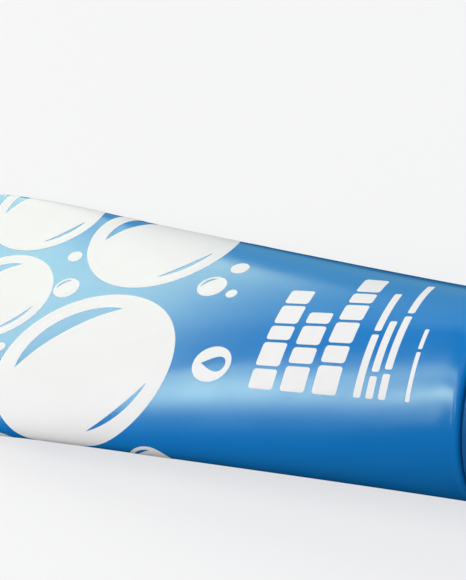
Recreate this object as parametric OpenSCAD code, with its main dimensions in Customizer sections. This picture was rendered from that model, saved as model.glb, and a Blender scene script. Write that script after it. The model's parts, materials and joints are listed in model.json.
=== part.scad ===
// Squeezable shaving cream tube with a round screw-on flip-top cap.
// The tube lies on its back, flat tail towards -X and cap towards +X.
// Each piece is drawn upright about its own axis (z up towards the cap, zero at
// the shoulder edge, y across the tail) and place() lays it down.

/* [Sleeve] */
// Outer diameter of the sleeve at its round end
tube_d = 50; // [46:1:54]
// Length from the shoulder edge to the end of the flat tail
tube_len = 157; // [146:1:170]
// Thickness of the sleeve wall
wall = 0.5; // [0.4:0.1:0.6]
// Soft radius where the sleeve turns over the shoulder
edge_r = 2; // [1.8:0.2:3]
// Round length behind the shoulder before the sleeve starts to flatten
round_len = 4; // [4:0.5:6]
// Length of the welded band at the tail
crimp_len = 6; // [5:0.5:8]
// Thickness of the welded band
crimp_t = 1.3; // [1.2:0.1:1.6]
// Number of pressed ridges across the welded band
crimp_ridges = 5; // [3:1:6]
// Depth of each pressed ridge
ridge_depth = 0.15; // [0.1:0.05:0.2]

/* [Neck] */
// Outer radius of the neck without its thread
neck_r = 10; // [9:0.5:10]
// Inner radius of the neck
neck_bore_r = 7.5; // [6:0.5:7.5]
// Height of the shoulder cone
cone_h = 5.5; // [5:0.5:6]
// Height of the neck's mouth above the shoulder edge
mouth_z = 15.5; // [15:0.5:15.5]

/* [Thread] */
// Pitch of the cap's thread
pitch = 4; // [3.6:0.2:4.4]
// Turns of thread on the neck and in the cap
thread_turns = 1.75; // [1.25:0.25:1.75]
// Radial height of each thread ridge
thread_h = 1.1; // [1:0.1:1.2]

/* [Cap] */
// Gap between the sleeve and the cap
cap_gap = 1; // [0.8:0.1:1.2]
// Height at which the lid parts from the cap base
parting_z = 17.4; // [17.2:0.2:17.8]
// Height of the cap's flat end
cap_top_z = 25; // [24.5:0.5:27]
// Wall thickness of the cap
cap_wall = 1.6; // [1.4:0.1:1.8]
// Radius of the round edge at the cap's flat end
cap_edge_r = 1.6; // [1.2:0.1:2]
// Radius of the orifice
orifice_r = 2.5; // [2:0.1:3]
// Radial clearance of the lid's plug in the orifice
plug_gap = 0.3; // [0.3:0.05:0.4]
// Width of the thumb lip
lip_w = 15; // [12:1:18]
// Number of ribs under the cap's deck
rib_count = 8; // [4:1:10]

/* [Hinge] */
// Distance of the living hinge from the cap's axis
hinge_y = 24.2; // [24.1:0.1:24.3]
// Width of the middle film
film_w = 5.6; // [4:0.2:6]
// Width of each side strap
strap_w = 2; // [1.6:0.1:2.2]

/* [Hidden] */

blue = [0.04, 0.38, 0.66];
deep_blue = [0.02, 0.3, 0.58];
$fn = 96;
tube_r = tube_d / 2;
ring_sides = 64;

// The tail's end edge and the round lower side carry the tube, so the axis leans.
lean = atan((tube_r - crimp_t / 2) / (tube_len - round_len));
tail_x = -tube_len * cos(lean) - crimp_t / 2 * sin(lean);
nose_x = (cap_top_z - cap_edge_r) * cos(lean) + (tube_r - cap_edge_r) * sin(lean) + cap_edge_r;
axis_x = -(tail_x + nose_x) / 2;
axis_z = tube_len * sin(lean) + crimp_t / 2 * cos(lean);

// Heights of the stack that closes the mouth
foil_t = 0.15;
seal_t = 2 * foil_t;
washer_t = 0.8;
slip = 0.05;
deck_z = mouth_z + seal_t + washer_t + 2 * slip;
deck_t = 1.6;
spout_r = 6;
spout_z = deck_z + deck_t + 2;
part_gap = 0.15;
skirt_in_r = tube_r - cap_wall;
collar_r = skirt_in_r - 0.4;
collar_t = 1;
collar_z = parting_z + 2.5;
bead_h = 0.2;
thread_skirt_r = neck_r + thread_h + 0.4;
thread_skirt_t = 1.8;
thread_skirt_z = cone_h + 1.5;
recess_y = hinge_y - 0.3;
recess_w = 16;
recess_h = 10;
plug_r = orifice_r - plug_gap;
plug_tip_z = deck_z - 0.2;
plug_bore_r = 1.2;

module place() translate([axis_x, 0, axis_z]) rotate([0, 90 - lean, 0]) children();

// Ramanujan's perimeter of an ellipse
function perimeter(a, b) = PI * (3 * (a + b) - sqrt((3 * a + b) * (a + 3 * b)));
// Half width that keeps the sleeve's girth at a given half height, by halving the interval
function half_width(h, low, high, steps = 22) =
    let (mid = (low + high) / 2)
    steps == 0 ? mid
    : perimeter(mid, h) > 2 * PI * tube_r ? half_width(h, low, mid, steps - 1)
    : half_width(h, mid, high, steps - 1);
function girth_width(h) = half_width(h, tube_r * 0.98, tube_r * 1.6);

// Half height of the outside at a station z behind the shoulder edge
crimp_z = -(tube_len - crimp_len);
function outer_half(z) =
    z > -round_len ? tube_r
    : z < crimp_z ? crimp_t / 2
    : crimp_t / 2 + (tube_r - crimp_t / 2) * (z - crimp_z) / (-round_len - crimp_z);
// The section squares up towards the welded band, as the exponent grows from 2
function squareness(z) = 2 + 6 * pow(max(0, min(1, (-90 - z) / (-90 - crimp_z))), 3);

// One ring of points: w across the tail, h thick, at height z; x' is the tube's thickness
function ring(w, h, z, e = 2) = [
    for (i = [0 : ring_sides - 1])
        let (
            t = 360 * i / ring_sides,
            c = cos(t),
            s = sin(t),
            thick = abs(s) < 1e-6 ? 0 : sign(s) * pow(max(0, 1 - pow(abs(c), e)), 1 / e)
        )
        [h * thick, w * c, z]
];

// A closed skin through a list of rings, first ring lowest
module ring_skin(rings) {
    n = ring_sides;
    last = (len(rings) - 1) * n;
    sides = [
        for (k = [0 : len(rings) - 2])
            for (i = [0 : n - 1])
                let (
                    a = k * n + i,
                    b = k * n + (i + 1) % n
                )
                each [[a, b, b + n], [a, b + n, a + n]]
    ];
    bottom = [for (i = [n - 1 : -1 : 0]) i];
    top = [for (i = [0 : n - 1]) last + i];
    polyhedron([for (r = rings) each r], concat([bottom], sides, [top]), convexity = 6);
}

stations = [for (k = [0 : 10]) crimp_z + (-round_len - crimp_z) * k / 10];

// Outside of the sleeve from the tail's end to the turned-over edge
function outer_rings() = concat(
    [
        for (k = [0 : 2 * crimp_ridges])
            let (h = crimp_t / 2 - (k % 2) * ridge_depth)
            ring(girth_width(crimp_t / 2), h, -tube_len + (crimp_len - 0.4) * k / (2 * crimp_ridges), 8)
    ],
    [for (z = stations) ring(girth_width(outer_half(z)), outer_half(z), z, squareness(z))],
    [
        for (a = [0 : 15 : 90])
            let (r = tube_r - edge_r * (1 - cos(a)))
            ring(r, r, -edge_r + edge_r * sin(a))
    ]
);

// Inside of the sleeve, from the turned-over edge back to the weld
inner_tail_z = crimp_z + 6;
inner_stations = [for (k = [10 : -1 : 0]) inner_tail_z + (-round_len - inner_tail_z) * k / 10];
function inner_rings(t) = [
    for (z = inner_stations)
        ring(girth_width(outer_half(z)) - t, outer_half(z) - t, z, squareness(z))
];

module sleeve() {
    turned_edge = [
        for (a = [90 : -18 : 0])
            let (r = tube_r - edge_r + (edge_r - wall) * cos(a))
            ring(r, r, -edge_r + (edge_r - wall) * sin(a))
    ];
    color(blue) place() ring_skin(concat(outer_rings(), turned_edge, inner_rings(wall)));
}

// Cream fills the sleeve, the shoulder's cone and the neck, just clear of the walls
module cream() {
    clear = wall + 0.15;
    body = [for (k = [len(inner_stations) - 1 : -1 : 1]) inner_rings(clear)[k]];
    head = [
        [tube_r - 2.2, -3.6],
        [tube_r - 3.2, -2.4],
        [neck_bore_r - 0.2, cone_h - 1.5],
        [neck_bore_r - 0.2, mouth_z - 0.2]
    ];
    color([0.95, 0.95, 0.93]) place() ring_skin(concat(
        body,
        [ring(tube_r - clear, tube_r - clear, -round_len + 0.05)],
        [for (p = head) ring(p[0], p[0], p[1])]
    ));
}

// A helical ridge: base radius, tip radius, first height and turns; right-handed
module thread_ridge(base_r, tip_r, z0, turns, phase = 0) {
    per_turn = 30;
    steps = round(turns * per_turn);
    base_half = 0.75;
    tip_half = 0.4;
    points = [
        for (k = [0 : steps])
            let (
                a = phase + 360 * k / per_turn,
                z = z0 + pitch * k / per_turn,
                // The ridge fades in and out over a sixth of a turn
                fade = min(1, 0.05 + k / 5, 0.05 + (steps - k) / 5),
                tip = base_r + (tip_r - base_r) * fade
            )
            each [
                [base_r * cos(a), base_r * sin(a), z - base_half],
                [tip * cos(a), tip * sin(a), z - tip_half],
                [tip * cos(a), tip * sin(a), z + tip_half],
                [base_r * cos(a), base_r * sin(a), z + base_half]
            ]
    ];
    outside = tip_r > base_r;
    sides = [
        for (k = [0 : steps - 1])
            for (j = [0 : 3])
                let (
                    a = 4 * k + j,
                    b = 4 * k + (j + 1) % 4
                )
                each [[a, a + 4, b + 4], [a, b + 4, b]]
    ];
    ends = [[0, 1, 2, 3], [4 * steps + 3, 4 * steps + 2, 4 * steps + 1, 4 * steps]];
    faces = concat(ends, sides);
    reversed = [for (f = faces) [for (i = [len(f) - 1 : -1 : 0]) f[i]]];
    polyhedron(points, outside ? reversed : faces, convexity = 8);
}

thread_z = mouth_z - 1.4 - pitch * thread_turns;
cap_thread_z = thread_skirt_z + 0.9;

// Moulded shoulder: skirt inside the sleeve, cone, neck and outside thread
module shoulder() {
    seat = wall + 0.1;
    color(blue) place() union() {
        rotate_extrude() polygon(concat(
            [[tube_r - seat - 1.2, -round_len + 0.5], [tube_r - seat, -round_len + 0.5]],
            [
                for (a = [0 : 15 : 90])
                    [
                        tube_r - edge_r + (edge_r - seat) * cos(a),
                        -edge_r + (edge_r - seat) * sin(a)
                    ]
            ],
            [
                [tube_r - edge_r - 0.1, -seat],
                [tube_r - edge_r - 0.1, 0],
                [neck_r, cone_h],
                [neck_r, mouth_z],
                [neck_bore_r, mouth_z],
                [neck_bore_r, cone_h - 0.5],
                [tube_r - 2.4, -1.5],
                [tube_r - seat - 1.2, -2]
            ]
        ));
        thread_ridge(neck_r - 0.2, neck_r + thread_h, thread_z, thread_turns);
    }
}

// Laminate disc that lines the underside of the shoulder's cone
module barrier_disc() {
    inner = [neck_bore_r + 0.5, cone_h - 0.8];
    outer = [tube_r - 3, -1.35];
    disc_t = 0.4;
    color([0.8, 0.82, 0.84]) place() rotate_extrude() polygon([
        inner,
        outer,
        [outer[0], outer[1] - disc_t],
        [inner[0], inner[1] - disc_t]
    ]);
}

// Foil welded over the neck's mouth, with a half-round tab folded flat on it
module mouth_seal() {
    foil_r = neck_r - 0.2;
    color([0.85, 0.85, 0.87]) place() translate([0, 0, mouth_z]) union() {
        cylinder(r = foil_r, h = foil_t);
        intersection() {
            cylinder(r = foil_r, h = seal_t);
            translate([1, -foil_r, 0]) cube([foil_r, 2 * foil_r, seal_t]);
        }
    }
}

module cap_washer() {
    color([0.9, 0.9, 0.88]) place() translate([0, 0, mouth_z + seal_t + slip]) difference() {
        cylinder(r = neck_r + 0.6, h = washer_t);
        translate([0, 0, -1]) cylinder(r = orifice_r + 0.6, h = washer_t + 2);
    }
}

// Flat recess in the cap's side where the living hinge runs
module hinge_recess() {
    translate([-recess_w / 2, recess_y, parting_z - recess_h / 2]) cube([recess_w, 5, recess_h]);
}

// Finger scoop below the thumb lip
module thumb_scoop() {
    translate([0, -tube_r - 9.6, parting_z - 1.5]) sphere(r = 10.6);
}

// Outer skirt, deck, spout, snap collar, threaded inner skirt and ribs
module cap_base() {
    skirt_z = cap_gap;
    chamfer = 0.4;
    color(deep_blue) place() union() {
        difference() {
            union() {
                rotate_extrude() polygon([
                    [skirt_in_r, skirt_z],
                    [tube_r - chamfer, skirt_z],
                    [tube_r, skirt_z + chamfer],
                    [tube_r, parting_z],
                    [collar_r, parting_z],
                    [collar_r, collar_z - 1.1],
                    [collar_r + bead_h, collar_z - 0.8],
                    [collar_r + bead_h, collar_z - 0.5],
                    [collar_r, collar_z - 0.2],
                    [collar_r - 0.2, collar_z],
                    [collar_r - collar_t, collar_z],
                    [collar_r - collar_t, deck_z + deck_t],
                    [spout_r + 1, deck_z + deck_t],
                    [spout_r, deck_z + deck_t + 0.4],
                    [spout_r - 1.4, spout_z - 0.3],
                    [spout_r - 1.9, spout_z],
                    [orifice_r, spout_z],
                    [orifice_r, deck_z],
                    [thread_skirt_r, deck_z],
                    [thread_skirt_r, thread_skirt_z],
                    [thread_skirt_r + thread_skirt_t, thread_skirt_z],
                    [thread_skirt_r + thread_skirt_t, deck_z],
                    [skirt_in_r, deck_z]
                ]);
                for (k = [0 : rib_count - 1])
                    rotate([0, 0, 360 * (k + 0.5) / rib_count])
                        translate([thread_skirt_r + thread_skirt_t - 0.3, -0.5, thread_skirt_z + 2])
                            cube([
                                skirt_in_r - thread_skirt_r - thread_skirt_t + 0.6,
                                1,
                                deck_z - thread_skirt_z - 1.5
                            ]);
            }
            hinge_recess();
            thumb_scoop();
        }
        // The cap's thread keeps half a pitch from the neck's, so they never touch
        thread_ridge(
            thread_skirt_r + 0.2,
            neck_r + 0.4,
            cap_thread_z,
            thread_turns,
            360 * (cap_thread_z - thread_z - pitch / 2) / pitch
        );
    }
}

// Thin strap that joins base and lid on the recess, weakened along the parting line
module strap(width) {
    t = 0.5;
    reach = 3.4;
    translate([-width / 2, recess_y, parting_z + part_gap / 2]) difference() {
        translate([0, 0.02, -reach]) cube([width, t, 2 * reach]);
        translate([width / 2, t + 0.02, 0]) rotate([45, 0, 0]) cube([width + 2, 0.4, 0.4], center = true);
    }
}

module hinge_film() {
    color(deep_blue) place() strap(film_w);
}

module snap_straps() {
    offset_x = film_w / 2 + 0.5 + strap_w / 2;
    color(deep_blue) place() for (side = [-1, 1])
        translate([side * offset_x, 0, 0]) strap(strap_w);
}

// Flip lid: flat end, side wall, thumb lip and the plug that closes the orifice
module lid() {
    low = parting_z + part_gap;
    inside_top = cap_top_z - cap_wall;
    color(deep_blue) place() union() {
        difference() {
            union() {
                rotate_extrude() difference() {
                    polygon(concat(
                        [[0, low], [tube_r, low]],
                        [
                            for (a = [0 : 15 : 90])
                                [
                                    tube_r - cap_edge_r * (1 - cos(a)),
                                    cap_top_z - cap_edge_r * (1 - sin(a))
                                ]
                        ],
                        [[0, cap_top_z]]
                    ));
                    translate([-1, low - 1]) square([skirt_in_r + 1, inside_top - low + 1]);
                }
                intersection() {
                    translate([-lip_w / 2, -tube_r - 1.4, low]) cube([lip_w, 6, 1.6]);
                    rotate_extrude() translate([skirt_in_r + 0.5, low]) square([cap_wall + 0.8, 1.6]);
                }
            }
            hinge_recess();
        }
        // Plug: a short tube that hangs from the flat end into the orifice
        rotate_extrude() polygon([
            [plug_bore_r, inside_top + 0.5],
            [plug_bore_r, plug_tip_z],
            [plug_r - 0.5, plug_tip_z],
            [plug_r, plug_tip_z + 0.8],
            [plug_r, spout_z + 0.4],
            [plug_r + 0.8, inside_top + 0.5]
        ]);
    }
}

sleeve();
cream();
shoulder();
barrier_disc();
mouth_seal();
cap_washer();
cap_base();
hinge_film();
snap_straps();
lid();
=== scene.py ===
"""Looks of a blue shaving cream tube with a flip-top cap, around its CAD frame.

Shapes and their places are in millimetres; ORIGIN_M, the materials, the floor and the
lights are in metres. Places on the sleeve are given as (along, girth): along is the
distance from the shoulder edge towards the cap, so it is negative on the sleeve, and
girth runs round the sleeve from the middle of its printed face, positive towards the
camera's side.
"""

import functools
import json
import math

import bmesh
import bpy
import numpy as np
from mathutils import Matrix, Vector


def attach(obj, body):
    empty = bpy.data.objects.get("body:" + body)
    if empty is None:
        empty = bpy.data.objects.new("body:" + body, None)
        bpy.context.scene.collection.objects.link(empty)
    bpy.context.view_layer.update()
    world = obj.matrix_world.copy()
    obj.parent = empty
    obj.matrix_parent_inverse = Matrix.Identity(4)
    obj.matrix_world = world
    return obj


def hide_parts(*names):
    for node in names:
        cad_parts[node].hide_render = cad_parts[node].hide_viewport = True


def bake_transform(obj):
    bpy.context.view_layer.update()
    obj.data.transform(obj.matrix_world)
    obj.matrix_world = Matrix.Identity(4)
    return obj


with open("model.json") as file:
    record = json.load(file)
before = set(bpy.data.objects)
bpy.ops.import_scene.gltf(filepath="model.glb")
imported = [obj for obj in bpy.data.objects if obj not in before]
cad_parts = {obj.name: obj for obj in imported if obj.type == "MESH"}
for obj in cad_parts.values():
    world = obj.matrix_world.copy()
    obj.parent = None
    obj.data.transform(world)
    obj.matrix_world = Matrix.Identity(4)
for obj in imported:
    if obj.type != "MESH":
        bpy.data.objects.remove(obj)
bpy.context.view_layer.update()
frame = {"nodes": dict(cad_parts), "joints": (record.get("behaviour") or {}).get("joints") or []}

MM = 0.001
JOINTS = {j["name"]: j for j in frame["joints"]}

# The tube's own axes: ALONG towards the cap, ACROSS the flat tail, UP out of the print
ALONG = Vector(JOINTS["cap_turn"]["axis"]).normalized()
ACROSS = Vector((0, 1, 0))
UP = ALONG.cross(ACROSS).normalized()
TURN_POINT = 17.0
ORIGIN_M = Vector(JOINTS["cap_turn"]["pos_m"]) - TURN_POINT * MM * ALONG

# Sleeve
TUBE_R = 25.0
TUBE_LEN = 157.0
WALL = 0.5
EDGE_R = 2.0
ROUND_LEN = 4.0
CRIMP_LEN = 6.0
CRIMP_T = 1.3
CRIMP_Z = -(TUBE_LEN - CRIMP_LEN)
RIDGES = 5
RIDGE_DEPTH = 0.15
FLATTEN_Z = -90.0
HALF_GIRTH = math.pi * TUBE_R

# Cap
CAP_GAP = 1.0
PARTING_Z = 17.4
PART_GAP = 0.15
CAP_TOP_Z = 25.0
CAP_WALL = 1.6
CAP_EDGE_R = 1.6
SKIRT_IN_R = TUBE_R - CAP_WALL
DECK_Z = 16.7
DECK_T = 1.6
COLLAR_R = SKIRT_IN_R - 0.4
COLLAR_Z = PARTING_Z + 2.5
SPOUT_R = 6.0
SPOUT_Z = DECK_Z + DECK_T + 2.0
ORIFICE_R = 2.5
PLUG_R = 2.2
THREAD_SKIRT_R = 11.5
THREAD_SKIRT_T = 1.8
THREAD_SKIRT_Z = 7.0
NECK_R = 10.0
NECK_THREAD_END_Z = 15.5 - 1.4
PITCH = 4.0
THREAD_TURNS = 1.75
RIB_COUNT = 8
RIB_T = 1.0
SCOOP_HALF_W = 8.2
SCOOP_HALF_H = 4.6
SCOOP_DEPTH = 1.0
SCOOP_Z = PARTING_Z - 1.5
LIP_W = 15.0
LIP_T = 1.1
LIP_OUT = 1.25

# Living hinge
HINGE_Y = 24.2
HINGE_Z = PARTING_Z + PART_GAP / 2
RECESS_Y = HINGE_Y - 0.3
RECESS_HALF_H = 5.0
FILM_W = 5.6
STRAP_W = 2.0
STRAP_T = 0.5
STRAP_GAP = 0.5
STRAP_REACH = 3.4
STRAP_CHAMFER = 0.08


def spot(across, up, along):
    """A point of the tube's own axes, in millimetres, as a place in the frame."""
    return ORIGIN_M + MM * (across * ACROSS + up * UP + along * ALONG)


# ---------------------------------------------------------------- camera

VIEW_ALONG = 0.399
VIEW_TILT = math.radians(42.2)
VIEW_ROLL = math.radians(9.46)
AIM_RIGHT = -62.5
AIM_UP = 25.7
CAMERA_DISTANCE = 1106.0
SENSOR_HEIGHT = 24.0
LENS = 194.5


def make_camera():
    """A long lens that looks down at the sleeve, rolled so that the tube slopes."""
    rest = math.sqrt(1 - VIEW_ALONG**2)
    back = (
        VIEW_ALONG * ALONG
        - rest * math.sin(VIEW_TILT) * ACROSS
        + rest * math.cos(VIEW_TILT) * UP
    )
    level_right = (ALONG - ALONG.dot(back) * back).normalized()
    level_up = back.cross(level_right)
    right = math.cos(VIEW_ROLL) * level_right + math.sin(VIEW_ROLL) * level_up
    up = back.cross(right)
    aim = ORIGIN_M + MM * (AIM_RIGHT * right + AIM_UP * up)
    data = bpy.data.cameras.new("camera")
    data.sensor_fit = "VERTICAL"
    data.sensor_height = SENSOR_HEIGHT
    data.lens = LENS
    data.clip_start = 0.05
    data.clip_end = 20
    camera = bpy.data.objects.new("camera", data)
    turn = Matrix((right, up, back)).transposed().to_4x4()
    camera.matrix_world = Matrix.Translation(aim + CAMERA_DISTANCE * MM * back) @ turn
    bpy.context.scene.collection.objects.link(camera)
    bpy.context.scene.camera = camera


make_camera()

# ---------------------------------------------------------------- materials


class Nodes:
    """Builds one material's node tree with short calls."""

    def __init__(self, name):
        self.material = bpy.data.materials.new(name)
        self.material.use_nodes = True
        self.tree = self.material.node_tree
        self.shader = self.tree.nodes["Principled BSDF"]
        self.place = self.add("ShaderNodeTexCoord").outputs["Object"]

    def add(self, kind, **settings):
        node = self.tree.nodes.new(kind)
        for key, value in settings.items():
            setattr(node, key, value)
        return node

    def link(self, source, target):
        self.tree.links.new(source, target)

    def set(self, **values):
        for key, value in values.items():
            self.shader.inputs[key.replace("_", " ")].default_value = value

    def noise(self, scale, detail=3.0, roughness=0.5):
        node = self.add("ShaderNodeTexNoise")
        node.inputs["Scale"].default_value = scale
        node.inputs["Detail"].default_value = detail
        node.inputs["Roughness"].default_value = roughness
        self.link(self.place, node.inputs["Vector"])
        return node.outputs["Fac"]

    def between(self, source, low, high, start=0.3, end=0.7):
        node = self.add("ShaderNodeMapRange")
        node.inputs["From Min"].default_value = start
        node.inputs["From Max"].default_value = end
        node.inputs["To Min"].default_value = low
        node.inputs["To Max"].default_value = high
        self.link(source, node.inputs["Value"])
        return node.outputs["Result"]

    def tint(self, scale, detail, dark, light):
        """Mottles the base colour between two close colours."""
        source = self.between(self.noise(scale, detail), 0, 1)
        node = self.add("ShaderNodeMix", data_type="RGBA")
        node.inputs["A"].default_value = (*dark, 1)
        node.inputs["B"].default_value = (*light, 1)
        self.link(source, node.inputs["Factor"])
        self.link(node.outputs["Result"], self.shader.inputs["Base Color"])

    def rough(self, scale, detail, low, high):
        """Lets the roughness wander between low and high."""
        source = self.between(self.noise(scale, detail), low, high)
        self.link(source, self.shader.inputs["Roughness"])

    def bump(self, sources, distance=0.00002):
        """Adds up several heights, each (socket, strength), into one bump."""
        normal = None
        for source, strength in sources:
            node = self.add("ShaderNodeBump")
            node.inputs["Strength"].default_value = strength
            node.inputs["Distance"].default_value = distance
            self.link(source, node.inputs["Height"])
            if normal:
                self.link(normal, node.inputs["Normal"])
            normal = node.outputs["Normal"]
        self.link(normal, self.shader.inputs["Normal"])


def satin_blue():
    """The sleeve's coloured film: satin, with faint flow marks and a fine orange peel."""
    m = Nodes("satin_blue_film")
    m.set(Specular_IOR_Level=1.0, IOR=1.5)
    m.tint(30, 2, (0.0004, 0.187, 0.57), (0.0007, 0.199, 0.594))
    m.rough(120, 2, 0.205, 0.225)
    m.bump([(m.noise(1400, 2), 0.25), (m.noise(160, 2), 0.18)])
    return m.material


def white_ink():
    """Screen-printed white ink, a little flatter than the film under it."""
    m = Nodes("white_ink")
    m.set(Specular_IOR_Level=0.24, Specular_Tint=(0.85, 0.64, 1.0, 1.0))
    m.tint(70, 3, (0.828, 0.824, 0.831), (0.852, 0.848, 0.855))
    m.rough(2200, 3, 0.36, 0.44)
    m.bump([(m.noise(3000, 2), 0.3), (m.noise(160, 2), 0.18)])
    return m.material


def cap_blue():
    """Injection-moulded cap: deeper blue and glossier, with a fine moulded skin."""
    m = Nodes("cap_blue_plastic")
    m.set(Specular_IOR_Level=0.75)
    m.tint(45, 3, (0.0018, 0.105, 0.36), (0.0025, 0.118, 0.39))
    m.rough(70, 2, 0.28, 0.32)
    m.bump([(m.noise(1800, 2), 0.05), (m.noise(240, 2), 0.06)])
    return m.material


def shoulder_blue():
    """Moulded shoulder and neck: the sleeve's blue in a slightly waxy plastic."""
    m = Nodes("shoulder_blue_plastic")
    m.set(Specular_IOR_Level=0.65)
    m.tint(60, 3, (0.0016, 0.125, 0.4), (0.002, 0.14, 0.43))
    m.rough(80, 2, 0.37, 0.43)
    m.bump([(m.noise(1400, 2), 0.1)])
    return m.material


def foil():
    """Seal foil: soft metal, mottled, with fine creases."""
    m = Nodes("seal_foil")
    m.set(Metallic=0.4)
    m.tint(500, 4, (0.66, 0.67, 0.69), (0.78, 0.79, 0.8))
    m.rough(900, 4, 0.24, 0.4)
    m.bump([(m.noise(700, 5, 0.65), 0.6)], 0.00005)
    return m.material


def foam():
    """Closed-cell foam liner."""
    m = Nodes("liner_foam")
    m.tint(900, 3, (0.74, 0.74, 0.71), (0.84, 0.84, 0.81))
    m.rough(900, 3, 0.7, 0.85)
    m.bump([(m.noise(2600, 4, 0.7), 0.7)], 0.00006)
    return m.material


def laminate():
    """Barrier laminate: a dull metallised film."""
    m = Nodes("barrier_film")
    m.set(Metallic=0.6)
    m.tint(300, 3, (0.55, 0.57, 0.6), (0.64, 0.66, 0.68))
    m.rough(600, 3, 0.35, 0.5)
    m.bump([(m.noise(1500, 3), 0.3)])
    return m.material


def thick_cream():
    """White lather cream: soft, moist and slightly peaked."""
    m = Nodes("white_cream")
    m.set(Subsurface_Weight=0.3, Subsurface_Scale=0.003)
    m.tint(120, 3, (0.85, 0.85, 0.82), (0.91, 0.91, 0.89))
    m.rough(300, 3, 0.35, 0.5)
    m.bump([(m.noise(250, 4), 0.5)], 0.0001)
    return m.material


BLUE_FILM = satin_blue()
INK = white_ink()
CAP_PLASTIC = cap_blue()

# ---------------------------------------------------------------- mesh helpers


def new_piece(name, points, faces, material, body):
    """One smooth mesh object from points in the tube's own axes.

    A piece that spans a joint has no body of its own, so body is None."""
    mesh = bpy.data.meshes.new(name)
    mesh.from_pydata([spot(*p) for p in points], [], faces)
    mesh.validate()
    mesh.polygons.foreach_set("use_smooth", [True] * len(mesh.polygons))
    mesh.materials.append(material)
    piece = bpy.data.objects.new(name, mesh)
    bpy.context.scene.collection.objects.link(piece)
    if body:
        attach(piece, body)
    return piece


def outward(piece):
    """Turns every face of a closed piece outwards."""
    work = bmesh.new()
    work.from_mesh(piece.data)
    bmesh.ops.recalc_face_normals(work, faces=work.faces)
    work.to_mesh(piece.data)
    work.free()


def lathe(profile, turn=None, sides=192):
    """Points and faces of a closed profile of (radius, height) turned about the axis.

    turn(radius, height, angle) may move a point in or out. Angle 0 points across."""
    points = []
    faces = []
    count = len(profile)
    for k in range(sides):
        angle = 2 * math.pi * k / sides
        for radius, height in profile:
            r = turn(radius, height, angle) if turn else radius
            points.append((r * math.cos(angle), r * math.sin(angle), height))
    for k in range(sides):
        a = k * count
        b = (k + 1) % sides * count
        for i in range(count):
            j = (i + 1) % count
            faces.append((a + i, b + i, b + j, a + j))
    return points, faces


def soften(profile, radius=0.2, steps=3):
    """Rounds each corner of a closed profile, with a smaller radius where it is tight."""
    out = []
    count = len(profile)
    for i in range(count):
        before = Vector(profile[i - 1])
        corner = Vector(profile[i])
        after = Vector(profile[(i + 1) % count])
        one = before - corner
        two = after - corner
        bend = one.angle(two)
        if bend > math.radians(168):
            out.append(tuple(corner))
            continue
        reach = min(radius / math.tan(bend / 2), one.length * 0.45, two.length * 0.45)
        start = corner + one.normalized() * reach
        end = corner + two.normalized() * reach
        for k in range(steps + 1):
            t = k / steps
            curve = (1 - t) ** 2 * start + 2 * t * (1 - t) * corner + t**2 * end
            out.append(tuple(curve))
    return out


def spread(profile, longest):
    """Adds points so that no side of a closed profile is longer than this."""
    out = []
    for i, point in enumerate(profile):
        here = Vector(point)
        step = Vector(profile[(i + 1) % len(profile)]) - here
        parts = max(1, math.ceil(step.length / longest))
        for k in range(parts):
            out.append(tuple(here + step * k / parts))
    return out


def bar_faces(faces, first, steps):
    """Joins a run of four-point rings, from point first on, into a closed bar."""
    for k in range(steps):
        a = first + 4 * k
        for j in range(4):
            i = (j + 1) % 4
            faces.append((a + j, a + i, a + 4 + i, a + 4 + j))
    faces.append((first, first + 1, first + 2, first + 3))
    last = first + 4 * steps
    faces.append((last + 3, last + 2, last + 1, last))


def ease(t):
    """0 to 1 with soft ends."""
    t = min(1.0, max(0.0, t))
    return t * t * (3 - 2 * t)


# ---------------------------------------------------------------- sleeve


def perimeter(a, b):
    """Ramanujan's length of an ellipse with half axes a and b."""
    return math.pi * (3 * (a + b) - math.sqrt((3 * a + b) * (a + 3 * b)))


def half_width(height):
    """The half width at which the section keeps the sleeve's girth."""
    low = 0.9 * TUBE_R
    high = 1.6 * TUBE_R
    for _ in range(40):
        middle = (low + high) / 2
        if perimeter(middle, height) > 2 * HALF_GIRTH:
            high = middle
        else:
            low = middle
    return low


def section(z):
    """Half width, half height and squareness of the sleeve's outside at a height z."""
    if z >= -ROUND_LEN:
        drop = max(0.0, z + EDGE_R)
        r = TUBE_R - EDGE_R + math.sqrt(max(0.0, EDGE_R**2 - drop**2))
        return r, r, 2.0
    share = max(0.0, (z - CRIMP_Z) / (-ROUND_LEN - CRIMP_Z))
    height = CRIMP_T / 2 + (TUBE_R - CRIMP_T / 2) * share
    flat = max(0.0, min(1.0, (FLATTEN_Z - z) / (FLATTEN_Z - CRIMP_Z)))
    square = 2 + 6 * flat**3
    return half_width(height), height, square


SLEEVE_SIDES = 288
GIRTH_STEP = 2 * HALF_GIRTH / SLEEVE_SIDES
BODY_RINGS = 96
ALONG_STEP = (-ROUND_LEN - CRIMP_Z) / BODY_RINGS


def outline(z, shrink=0.0):
    """Evenly spaced points (across, up) round a section, from the middle of the print.

    They run over the camera's side first, so point k is at girth k * GIRTH_STEP."""
    width, height, square = section(z)
    t = np.linspace(0, 2 * np.pi, 2401)
    side = -np.sign(np.sin(t)) * np.abs(np.sin(t)) ** (2 / square)
    over = np.sign(np.cos(t)) * np.abs(np.cos(t)) ** (2 / square)
    across = (width - shrink) * side
    up = (height - shrink) * over
    steps = np.hypot(np.diff(across), np.diff(up))
    length = np.concatenate([[0], np.cumsum(steps)])
    even = np.linspace(0, length[-1], SLEEVE_SIDES, endpoint=False)
    return np.interp(even, length, across), np.interp(even, length, up)


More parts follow.
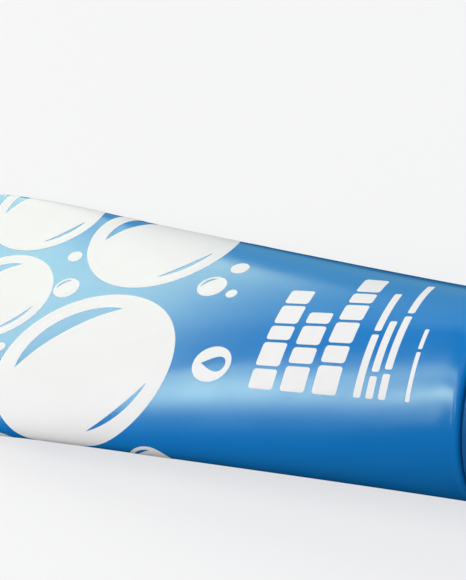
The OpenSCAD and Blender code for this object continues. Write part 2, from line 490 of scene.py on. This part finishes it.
def sleeve_rings():
    """Rings of the sleeve's skin: tail end, pressed band, body, round edge, inside."""
    rings = []
    band = CRIMP_LEN - 0.5
    per_ridge = 6
    for k in range(RIDGES * per_ridge + 1):
        z = -TUBE_LEN + band * k / (RIDGES * per_ridge)
        across, up = outline(z)
        wave = 0.5 - 0.5 * math.cos(2 * math.pi * k / per_ridge)
        rings.append((across, up * (1 - RIDGE_DEPTH * wave / (CRIMP_T / 2)), z))
    for k in range(BODY_RINGS + 1):
        z = CRIMP_Z + ALONG_STEP * k
        rings.append((*outline(z), z))
    # A ring close to the bend keeps the straight part's shading straight
    rings.append((*outline(-EDGE_R - 0.1), -EDGE_R - 0.1))
    for degrees in range(0, 91, 6):
        z = -EDGE_R + EDGE_R * math.sin(math.radians(degrees))
        rings.append((*outline(z), z))
    inner = EDGE_R - WALL
    for degrees in range(90, -1, -10):
        angle = math.radians(degrees)
        shrink = WALL + inner * (1 - math.cos(angle))
        rings.append((*outline(-ROUND_LEN, shrink), -EDGE_R + inner * math.sin(angle)))
    for k in range(31):
        z = -ROUND_LEN + (CRIMP_Z + 6 + ROUND_LEN) * k / 30
        rings.append((*outline(z, WALL), z))
    return rings


def make_sleeve():
    rings = sleeve_rings()
    points = []
    faces = []
    n = SLEEVE_SIDES
    for across, up, z in rings:
        points += [(float(a), float(u), z) for a, u in zip(across, up)]
    for k in range(len(rings) - 1):
        for i in range(n):
            j = (i + 1) % n
            faces.append((k * n + i, k * n + j, (k + 1) * n + j, (k + 1) * n + i))
    faces.append(tuple(range(n)))
    last = (len(rings) - 1) * n
    faces.append(tuple(last + i for i in range(n)))
    piece = new_piece("sleeve_skin", points, faces, BLUE_FILM, "tube")
    outward(piece)
    piece.data.set_sharp_from_angle(angle=math.radians(50))
    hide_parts("sleeve")
    return piece


make_sleeve()

# ---------------------------------------------------------------- print


@functools.lru_cache(maxsize=None)
def outline_at(along):
    """The outline at one place; the print asks for the same ones again and again."""
    return outline(along)


def wrap(along, girth, lift):
    """The place at (along, girth) on the flat sides of the sleeve's mesh, lifted outwards."""
    across, up = outline_at(round(along, 4))
    step = girth / GIRTH_STEP

    def around(position):
        k = math.floor(position)
        share = position - k
        a = k % SLEEVE_SIDES
        b = (k + 1) % SLEEVE_SIDES
        return Vector((
            float(across[a] + share * (across[b] - across[a])),
            float(up[a] + share * (up[b] - up[a])),
        ))

    here = around(step)
    tangent = (around(step + 0.5) - around(step - 0.5)).normalized()
    return (here.x + lift * tangent.y, here.y - lift * tangent.x, along)


INK_LIFT = 0.04


def cut_lines(values, start, step):
    """The sleeve's mesh lines, at start plus whole steps, that lie among the values."""
    first = math.ceil((min(values) - start) / step)
    last = math.floor((max(values) - start) / step)
    return [start + step * k for k in range(first, last + 1)]


def print_patch(name, shapes):
    """A thin printed layer, cut along the sleeve's own mesh lines so that it follows them.

    shapes is a list of groups; a group is one outline and its holes, as (along, girth)."""
    work = bmesh.new()
    for group in shapes:
        edges = []
        for loop in group:
            verts = [work.verts.new((a, g, 0)) for a, g in loop]
            for i, vert in enumerate(verts):
                edges.append(work.edges.new((vert, verts[(i + 1) % len(verts)])))
        bmesh.ops.triangle_fill(work, use_beauty=True, edges=edges)
    for axis, start, step in ((0, CRIMP_Z, ALONG_STEP), (1, 0.0, GIRTH_STEP)):
        for line in cut_lines([v.co[axis] for v in work.verts], start, step):
            where = Vector((0, 0, 0))
            where[axis] = line
            normal = Vector((0, 0, 0))
            normal[axis] = 1
            geometry = work.verts[:] + work.edges[:] + work.faces[:]
            bmesh.ops.bisect_plane(
                work, geom=geometry, dist=1e-5, plane_co=where, plane_no=normal
            )
    bmesh.ops.remove_doubles(work, verts=work.verts, dist=1e-4)
    for face in work.faces:
        face.smooth = True
        face.normal_update()
        # Along, then towards the camera's side, turns inwards on the sleeve
        if face.normal.z > 0:
            face.normal_flip()
    for vert in work.verts:
        along, girth, _ = vert.co
        vert.co = spot(*wrap(along, girth, INK_LIFT))
    mesh = bpy.data.meshes.new(name)
    work.to_mesh(mesh)
    work.free()
    mesh.materials.append(INK)
    piece = bpy.data.objects.new(name, mesh)
    bpy.context.scene.collection.objects.link(piece)
    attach(piece, "tube")
    return piece


def circle(along, girth, radius):
    sides = max(24, int(radius * 8))
    return [
        (
            along + radius * math.cos(2 * math.pi * k / sides),
            girth + radius * math.sin(2 * math.pi * k / sides),
        )
        for k in range(sides)
    ]


def crescent(along, girth, radius, thickness, start, sweep):
    """A pointed sickle on a circle, from start through sweep degrees."""
    steps = max(10, int(sweep / 4))
    out = []
    for k in range(steps + 1):
        angle = math.radians(start + sweep * k / steps)
        out.append((along + radius * math.cos(angle), girth + radius * math.sin(angle)))
    for k in range(steps - 1, 0, -1):
        share = k / steps
        angle = math.radians(start + sweep * share)
        r = radius - thickness * math.sin(math.pi * share) ** 0.8
        out.append((along + r * math.cos(angle), girth + r * math.sin(angle)))
    return out


def bubble(along, girth, radius):
    """A printed soap bubble: a disc with two sickles of shine left open."""
    group = [circle(along, girth, radius)]
    if radius > 3:
        group.append(crescent(along, girth, radius * 0.8, radius * 0.2, 172, 106))
    if radius > 8:
        group.append(crescent(along, girth, radius * 0.82, radius * 0.07, 12, 58))
    return group


BUBBLES = [
    (-99, 18.5, 23),
    (-134.5, 31, 13.2),
    (-133.5, -2, 14.6),
    (-98, -26.5, 19.4),
    (-134, -33, 14.8),
    (-115.5, -6, 3.4),
    (-116, 45, 6),
    (-76, -9, 3.8),
    (-72, -17, 2.4),
    (-69.5, -6.5, 1.5),
    (-77, 43.5, 5.2),
    (-74.5, -38, 4.2),
    (-146, 14, 2.6),
    (-146, -17.6, 2.4),
    (-124.4, 14.8, 1.5),
    (-118.5, -17.2, 1.9),
    (-117, -45, 3.6),
]


def rounded_bar(low, high, start, end, radius):
    """A bar from along low to high and from girth start to end, with round corners."""
    out = []
    radius = min(radius, (high - low) / 2, abs(end - start) / 2)
    far = min(start, end)
    near = max(start, end)
    corners = [
        (high - radius, near - radius, 0),
        (low + radius, near - radius, 90),
        (low + radius, far + radius, 180),
        (high - radius, far + radius, 270),
    ]
    for along, girth, begin in corners:
        for k in range(6):
            angle = math.radians(begin + 90 * k / 5)
            out.append((along + radius * math.cos(angle), girth + radius * math.sin(angle)))
    return [out]


def block_row(low, high, start, widths, gap, radius):
    """A row of blocks that stands for a line of type; it runs away from the camera."""
    shapes = []
    girth = start
    for width in widths:
        shapes.append(rounded_bar(low, high, girth, girth - width, radius))
        girth -= width + gap
    return shapes


BADGE = (-65.3, 16, 5)
DROP = (-65.0, 16, 3.1)
MARGIN = 21.6
TITLE_HEIGHT = 6.3
TITLE_PITCH = 8.25
TITLE_TOP = -53.8
TITLE_ROWS = [
    [5.2, 6.6, 4.2, 6.0, 5.0],
    [6.4, 4.4, 5.6, 3.6],
    [7.2, 4.6, 6.2, 5.2, 3.8, 6.4],
]
SMALL_HEIGHT = 1.9
SMALL_PITCH = 3.15
SMALL_TOP = -26.7
SMALL_ROWS = [[16.4, 13.6], [5.4, 14.2], [6.2, 15.2, 13.0]]
THIN_LOW = -13.6
THIN_HIGH = -12.5
THIN_ROW = [12.2, 5.6]


def droplet(along, girth, size):
    """A pointed drop with its tip towards the tail."""
    out = []
    for k in range(48):
        angle = 2 * math.pi * k / 48
        width = size * math.sin(angle) * math.sin(angle / 2) ** 1.4
        out.append((along - 1.05 * size * math.cos(angle), girth + 0.95 * width))
    return out


def make_print():
    print_patch("print_bubbles", [bubble(*b) for b in BUBBLES])
    print_patch("print_badge", [[circle(*BADGE), droplet(*DROP)]])
    title = []
    for k, widths in enumerate(TITLE_ROWS):
        low = TITLE_TOP + k * TITLE_PITCH
        title += block_row(low, low + TITLE_HEIGHT, MARGIN, widths, 0.85, 0.8)
    print_patch("print_title_bars", title)
    small = []
    for k, widths in enumerate(SMALL_ROWS):
        low = SMALL_TOP + k * SMALL_PITCH
        small += block_row(low, low + SMALL_HEIGHT, MARGIN, widths, 1.1, 0.5)
    small += block_row(THIN_LOW, THIN_HIGH, MARGIN, THIN_ROW, 0.8, 0.3)
    print_patch("print_small_bars", small)


make_print()

# ---------------------------------------------------------------- cap


def near_side(angle):
    """Distance round the cap from the middle of the thumb lip."""
    return TUBE_R * abs(math.remainder(angle - math.pi, 2 * math.pi))


def hinge_flat(radius, height, angle):
    """Cuts the outside back to the flat that the living hinge runs on."""
    depth = ease((RECESS_HALF_H - abs(height - PARTING_Z)) / 0.4)
    if depth <= 0 or math.cos(angle) <= 0:
        return radius
    flat = RECESS_Y / math.cos(angle)
    return radius - depth * max(0.0, radius - flat)


def base_turn(radius, height, angle):
    if radius < SKIRT_IN_R + 0.6:
        return radius
    r = hinge_flat(radius, height, angle)
    # Thumb scoop: a shallow round dish under the lip
    reach = math.hypot(near_side(angle) / SCOOP_HALF_W, (height - SCOOP_Z) / SCOOP_HALF_H)
    return r - SCOOP_DEPTH * (1 - ease(reach))


def make_cap_base():
    profile = [
        (SKIRT_IN_R, CAP_GAP),
        (TUBE_R, CAP_GAP),
        (TUBE_R, PARTING_Z),
        (COLLAR_R, PARTING_Z),
        (COLLAR_R, COLLAR_Z - 1.1),
        (COLLAR_R + 0.2, COLLAR_Z - 0.65),
        (COLLAR_R, COLLAR_Z - 0.2),
        (COLLAR_R - 0.1, COLLAR_Z),
        (COLLAR_R - 1, COLLAR_Z),
        (COLLAR_R - 1, DECK_Z + DECK_T),
        (SPOUT_R + 1, DECK_Z + DECK_T),
        (SPOUT_R, DECK_Z + DECK_T + 0.4),
        (SPOUT_R - 1.4, SPOUT_Z - 0.3),
        (SPOUT_R - 1.9, SPOUT_Z),
        (ORIFICE_R, SPOUT_Z),
        (ORIFICE_R, DECK_Z),
        (THREAD_SKIRT_R, DECK_Z),
        (THREAD_SKIRT_R, THREAD_SKIRT_Z),
        (THREAD_SKIRT_R + THREAD_SKIRT_T, THREAD_SKIRT_Z),
        (THREAD_SKIRT_R + THREAD_SKIRT_T, DECK_Z),
        (SKIRT_IN_R, DECK_Z),
    ]
    points, faces = lathe(spread(soften(profile, 0.25), 0.6), base_turn, 256)
    add_ribs(points, faces)
    add_thread(points, faces)
    piece = new_piece("cap_base_shell", points, faces, CAP_PLASTIC, "cap")
    outward(piece)
    piece.data.set_sharp_from_angle(angle=math.radians(55))
    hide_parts("cap_base")


def add_ribs(points, faces):
    """Radial ribs between the threaded skirt and the outer wall, under the deck."""
    inner = THREAD_SKIRT_R + THREAD_SKIRT_T - 0.3
    outer = SKIRT_IN_R + 0.3
    low = THREAD_SKIRT_Z + 2
    high = DECK_Z + 0.5
    for k in range(RIB_COUNT):
        # Half a step off the lip, the hinge and straight down
        angle = 2 * math.pi * (k + 0.5) / RIB_COUNT + math.pi / 2
        along_rib = Vector((math.cos(angle), math.sin(angle)))
        aside = Vector((-along_rib.y, along_rib.x))
        start = len(points)
        for z in (low, high):
            for r, side in ((inner, -1), (outer, -1), (outer, 1), (inner, 1)):
                at = along_rib * r + aside * (side * RIB_T / 2)
                points.append((at.x, at.y, z))
        for a, b, c, d in (
            (0, 1, 2, 3),
            (7, 6, 5, 4),
            (0, 4, 5, 1),
            (1, 5, 6, 2),
            (2, 6, 7, 3),
            (3, 7, 4, 0),
        ):
            faces.append((start + a, start + b, start + c, start + d))


def add_thread(points, faces):
    """The right-handed ridge inside the threaded skirt."""
    per_turn = 64
    steps = int(per_turn * THREAD_TURNS)
    base = THREAD_SKIRT_R + 0.2
    tip = NECK_R + 0.4
    start_z = THREAD_SKIRT_Z + 0.9
    neck_z = NECK_THREAD_END_Z - PITCH * THREAD_TURNS
    # The frame's thread is counted from straight down; the ridge keeps half a pitch away
    phase = 2 * math.pi * (start_z - neck_z - PITCH / 2) / PITCH
    first = len(points)
    for k in range(steps + 1):
        turn = phase + 2 * math.pi * k / per_turn
        z = start_z + PITCH * k / per_turn
        fade = min(1, 0.05 + k / 10, 0.05 + (steps - k) / 10)
        inner = base + (tip - base) * fade
        for r, dz in ((base, -0.75), (inner, -0.4), (inner, 0.4), (base, 0.75)):
            # x' of the frame points down and y' across
            points.append((r * math.sin(turn), -r * math.cos(turn), z + dz))
    bar_faces(faces, first, steps)


def lid_turn(radius, height, angle):
    if radius < SKIRT_IN_R + 0.6:
        return radius
    r = hinge_flat(radius, height, angle)
    # Thumb lip: a soft ledge along the lid's lower edge
    low = PARTING_Z + PART_GAP
    band = 1 - ease((height - low - LIP_T) / 0.7)
    reach = 1 - ease((near_side(angle) - LIP_W / 2 + 2) / 2.4)
    return r + LIP_OUT * band * reach


def make_lid():
    low = PARTING_Z + PART_GAP
    ceiling = CAP_TOP_Z - CAP_WALL
    outside = [(SKIRT_IN_R, low), (TUBE_R, low)]
    for k in range(9):
        a = math.radians(90 * k / 8)
        outside.append(
            (
                TUBE_R - CAP_EDGE_R * (1 - math.cos(a)),
                CAP_TOP_Z - CAP_EDGE_R * (1 - math.sin(a)),
            )
        )
    profile = outside + [
        (1.1, CAP_TOP_Z),
        (0.9, CAP_TOP_Z - 0.15),
        (0.02, CAP_TOP_Z - 0.15),
        (0.02, ceiling),
        (1.2, ceiling),
        (1.2, DECK_Z - 0.2),
        (PLUG_R - 0.5, DECK_Z - 0.2),
        (PLUG_R, DECK_Z + 0.6),
        (PLUG_R, SPOUT_Z + 0.4),
        (PLUG_R + 0.8, ceiling),
        (SKIRT_IN_R, ceiling),
    ]
    points, faces = lathe(spread(soften(profile, 0.15), 0.6), lid_turn, 256)
    piece = new_piece("lid_shell", points, faces, CAP_PLASTIC, "lid")
    outward(piece)
    piece.data.set_sharp_from_angle(angle=math.radians(55))
    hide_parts("lid")


make_cap_base()
make_lid()

# ---------------------------------------------------------------- living hinge


def strap_mesh(middle_up, width):
    """A strip on the hinge flat: thick at its ends and pinched along the parting line."""
    points = []
    faces = []
    steps = 48
    for k in range(steps + 1):
        share = 2 * k / steps - 1
        z = HINGE_Z + STRAP_REACH * share
        pinch = 0.3 * (1 - ease(abs(share) / 0.16))
        round_end = 0.35 * ease((abs(share) - 0.9) / 0.1)
        inner = RECESS_Y + 0.02
        outer = inner + STRAP_T - pinch - 0.25 * ease((abs(share) - 0.85) / 0.15)
        half = width / 2 - round_end
        front = half - STRAP_CHAMFER
        ring = ((inner, -half), (outer, -front), (outer, front), (inner, half))
        points += [(across, middle_up + up, z) for across, up in ring]
    bar_faces(faces, 0, steps)
    return points, faces


def make_strips(name, node, middles, width):
    """One piece of strips, side by side, that run from the cap to the lid."""
    points = []
    faces = []
    for middle in middles:
        more, sides = strap_mesh(middle, width)
        faces += [tuple(i + len(points) for i in face) for face in sides]
        points += more
    piece = new_piece(name, points, faces, CAP_PLASTIC, None)
    outward(piece)
    piece.data.set_sharp_from_angle(angle=math.radians(40))
    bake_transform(piece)
    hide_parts(node)


STRAP_MIDDLE = FILM_W / 2 + STRAP_GAP + STRAP_W / 2
make_strips("hinge_film_strip", "hinge_film", [0], FILM_W)
make_strips("snap_strap_pair", "snap_straps", [-STRAP_MIDDLE, STRAP_MIDDLE], STRAP_W)

# ---------------------------------------------------------------- inner pieces


def dress(node, material):
    """Gives a CAD node its finish."""
    mesh = frame["nodes"][node].data
    mesh.materials.clear()
    mesh.materials.append(material)


dress("cream", thick_cream())
dress("shoulder", shoulder_blue())
dress("barrier_disc", laminate())
dress("mouth_seal", foil())
dress("cap_washer", foam())

# ---------------------------------------------------------------- floor and light


def make_floor():
    half = 6.0
    mesh = bpy.data.meshes.new("floor")
    corners = [(-half, -half, 0), (half, -half, 0), (half, half, 0), (-half, half, 0)]
    mesh.from_pydata(corners, [], [(0, 1, 2, 3)])
    m = Nodes("pale_floor")
    m.set(Roughness=0.8, Specular_IOR_Level=0.2)
    # The table is lit from inside, which keeps the shadow on it pale
    m.set(Emission_Color=(1.0, 1.0, 1.012, 1), Emission_Strength=0.665)
    m.tint(3, 2, (0.236, 0.235, 0.232), (0.244, 0.243, 0.24))
    mesh.materials.append(m.material)
    floor = bpy.data.objects.new("floor", mesh)
    bpy.context.scene.collection.objects.link(floor)
    floor.visible_glossy = False
    floor.visible_diffuse = False


LIT_PLACE = spot(0, 5, -60)


def softbox(name, colour, turn, rise, roll, away, size, power):
    """An area light that faces the sleeve's middle.

    turn runs round from the cap's end towards the side far from the camera, and rise is
    the height above the flat tail; they are in degrees, as roll is. away and size, the
    light's distance and its two sides, are in metres."""
    data = bpy.data.lights.new(name, "AREA")
    data.shape = "RECTANGLE"
    data.size, data.size_y = size
    data.energy = power
    data.color = colour
    turn, rise, roll = map(math.radians, (turn, rise, roll))
    level = math.cos(rise)
    back = Vector((level * math.cos(turn), level * math.sin(turn), math.sin(rise)))
    side = back.cross(Vector((0, 1, 0))).normalized()
    over = back.cross(side)
    right = math.cos(roll) * side + math.sin(roll) * over
    top = back.cross(right)
    axes = [v.x * ALONG + v.y * ACROSS + v.z * UP for v in (right, top, back)]
    light = bpy.data.objects.new(name, data)
    facing = Matrix(axes).transposed().to_4x4()
    light.matrix_world = Matrix.Translation(LIT_PLACE + axes[2] * away) @ facing
    light.visible_camera = False
    bpy.context.scene.collection.objects.link(light)
    return light


# Tints of what the satin reflects; the fill that lights its colour is plain white
STRIP_TINT = (1.0, 1.28, 0.83)
TAIL_TINT = (0.9, 1.12, 0.65)
WALL_TINT = (0.62, 1.2, 1.0)
WHITE = (1.0, 1.0, 1.0)


def make_sheen():
    """Narrow strips and the pale far wall, seen only as reflections on the satin."""
    near = functools.partial(softbox, colour=STRIP_TINT, away=0.3)
    tail = functools.partial(softbox, colour=TAIL_TINT, away=0.45)
    wall = functools.partial(softbox, colour=WALL_TINT, away=1.0)
    lights = [
        near("near_strip", turn=-136, rise=56, roll=22, size=(0.02, 0.42), power=0.21),
        near("cross_strip", turn=-88, rise=57, roll=57, size=(0.05, 0.7), power=0.21),
        near("low_strip", turn=-96, rise=33, roll=19, size=(0.02, 0.2), power=0.06),
        tail("tail_strip", turn=149, rise=28, roll=24, size=(0.14, 0.55), power=1.0),
        wall("far_wall", turn=98, rise=30, roll=-38, size=(2.4, 1.3), power=4.8),
    ]
    for light in lights:
        light.visible_diffuse = False


def make_fill():
    """Two wide boxes and the room, which light the colours but don't reflect."""
    wide = functools.partial(softbox, colour=WHITE, roll=0, away=1.8, size=(1.6, 1.6))
    lights = [
        wide("near_fill", turn=-63, rise=57, power=21.5),
        wide("far_fill", turn=99, rise=49, power=11.0),
    ]
    for light in lights:
        light.visible_glossy = False
    world = bpy.data.worlds.new("studio")
    world.use_nodes = True
    background = world.node_tree.nodes["Background"]
    background.inputs["Color"].default_value = (1.0, 1.0, 1.0, 1)
    background.inputs["Strength"].default_value = 0.38
    world.cycles_visibility.glossy = False
    bpy.context.scene.world = world
    bpy.context.scene.view_settings.view_transform = "Standard"


make_floor()
make_sheen()
make_fill()
